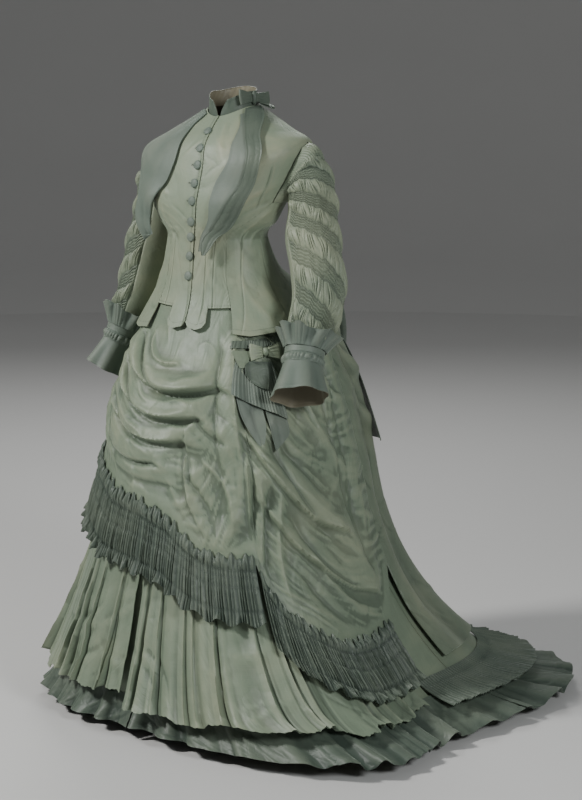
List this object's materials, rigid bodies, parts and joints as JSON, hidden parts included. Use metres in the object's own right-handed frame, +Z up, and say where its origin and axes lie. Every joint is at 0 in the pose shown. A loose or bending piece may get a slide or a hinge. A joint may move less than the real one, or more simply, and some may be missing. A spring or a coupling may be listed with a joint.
{
  "type": "trousseau dress",
  "caption": "Fitted basque bodice with smocked sleeves and scarf ends over a draped apron skirt with pleated flounces and a short train, in two greens of silk.",
  "frame": {"origin": "middle of the waist, where the wearer holds the dress up, 1050 mm above the floor", "axes": "+Z up, -Y the way the wearer faces, +X to the wearer's left"},
  "size_m": [1.0831, 1.0785, 1.362],
  "materials": {
    "light_silk": "soft sheen",
    "dark_silk": "soft sheen",
    "train_silk": "soft sheen"
  },
  "bodies": {
    "root": {"skirt_front_gore": "light_silk", "skirt_side_gore_left": "light_silk", "skirt_side_gore_right": "light_silk", "skirt_train_back": "light_silk", "waistband": "light_silk", "walking_flounce_right": "light_silk", "walking_flounce_left": "light_silk", "hem_ruffle_right": "dark_silk", "hem_ruffle_left": "dark_silk", "hem_ruffle_train": "dark_silk", "apron_overskirt": "light_silk", "apron_flounce_right": "dark_silk", "apron_flounce_left": "dark_silk", "overskirt_back": "train_silk", "train_flounce": "dark_silk", "bodice_front_left": "light_silk", "bodice_side_left": "light_silk", "bodice_front_right": "light_silk", "bodice_side_right": "light_silk", "bodice_back": "light_silk", "button_1": "dark_silk", "button_2": "dark_silk", "button_3": "dark_silk", "button_4": "dark_silk", "button_5": "dark_silk", "button_6": "dark_silk", "button_7": "dark_silk", "button_8": "dark_silk", "button_9": "dark_silk", "collar": "dark_silk", "scarf_end_right": "dark_silk", "scarf_end_left_under": "dark_silk", "scarf_end_left_over": "dark_silk", "sleeve_left": "light_silk", "cuff_band_left": "dark_silk", "cuff_flare_left": "dark_silk", "cuff_ruffle_left": "dark_silk", "sleeve_right": "light_silk", "cuff_band_right": "dark_silk", "cuff_flare_right": "dark_silk", "cuff_ruffle_right": "dark_silk", "neck_loop_front": "dark_silk", "neck_loop_back": "dark_silk", "neck_loop_low": "dark_silk", "neck_knot": "dark_silk", "pocket_heading": "dark_silk", "pocket_turnover": "light_silk", "pocket_fan": "dark_silk", "pocket_ribbon_end": "dark_silk", "pocket_tab_front": "dark_silk", "pocket_tab_back": "dark_silk", "pocket_bow_loop_a": "light_silk", "pocket_bow_loop_b": "light_silk", "pocket_bow_knot": "light_silk", "sash_bow_loop_a": "dark_silk", "sash_bow_loop_b": "dark_silk", "sash_bow_knot": "dark_silk", "sash_end_left": "dark_silk", "sash_end_right": "dark_silk"}
  },
  "joints": []
}
